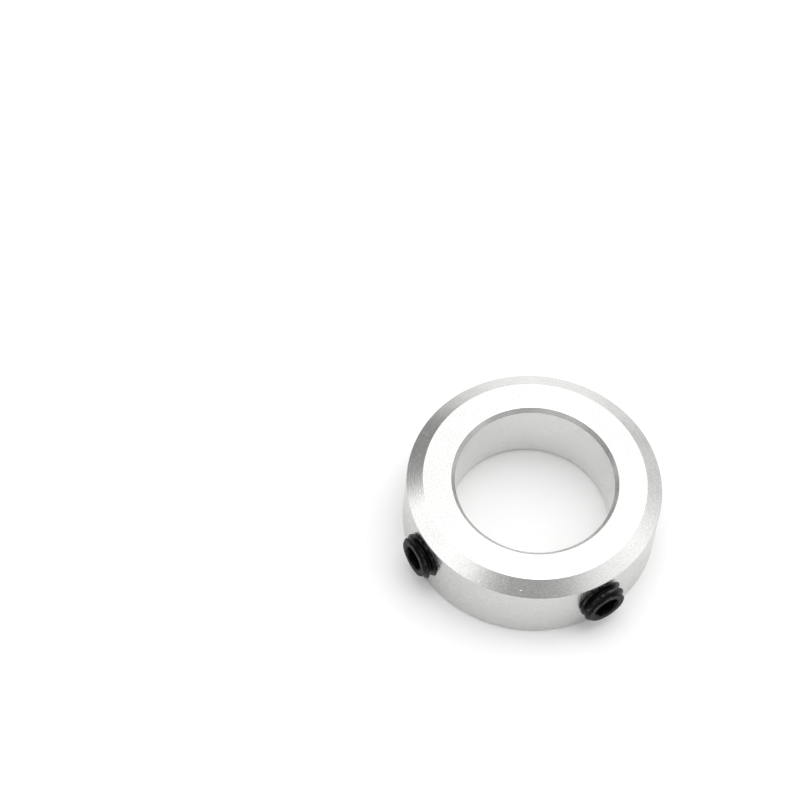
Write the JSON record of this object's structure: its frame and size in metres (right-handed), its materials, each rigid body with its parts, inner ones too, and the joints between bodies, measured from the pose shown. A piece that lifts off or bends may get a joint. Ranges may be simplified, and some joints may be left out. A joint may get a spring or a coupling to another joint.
{
  "type": "shaft collar",
  "caption": "Solid shaft collar: a turned aluminium ring with one wide face chamfer and radial cup-point set screws at right angles, shown backed off.",
  "frame": {"origin": "centre of the bore at mid-width", "axes": "+Z along the bore, towards the face with the wide chamfer; screw 1 points out along -X and screw 2 along -Y"},
  "size_m": [0.0334, 0.0336, 0.01],
  "materials": {
    "ring_aluminium": "satin, fine turned, clear anodised",
    "screw_steel": "black oxide on alloy steel, satin"
  },
  "bodies": {
    "ring": {"ring": "ring_aluminium"},
    "set_screw_1_point": {"set_screw_1_point": "screw_steel"},
    "set_screw_1": {"set_screw_1": "screw_steel"},
    "set_screw_2_point": {"set_screw_2_point": "screw_steel"},
    "set_screw_2": {"set_screw_2": "screw_steel"}
  },
  "joints": [
    {"name": "screw_1_advance", "type": "slide", "parent": "ring", "child": "set_screw_1_point", "axis": [-1, 0, 0], "range_m": [-0.00325, 0.002]},
    {"name": "screw_1_turn", "type": "hinge", "parent": "set_screw_1_point", "child": "set_screw_1", "pos_m": [0, 0, 0], "axis": [-1, 0, 0], "range_deg": [-1171, 721]},
    {"name": "screw_2_advance", "type": "slide", "parent": "ring", "child": "set_screw_2_point", "axis": [0, -1, 0], "range_m": [-0.0035, 0.00175]},
    {"name": "screw_2_turn", "type": "hinge", "parent": "set_screw_2_point", "child": "set_screw_2", "pos_m": [0, 0, 0], "axis": [0, -1, 0], "range_deg": [-1261, 631]}
  ],
  "couplings": [
    {"joint": "screw_1_turn", "follows": "screw_1_advance", "rad_per_m": 6283.2},
    {"joint": "screw_2_turn", "follows": "screw_2_advance", "rad_per_m": 6283.2}
  ]
}
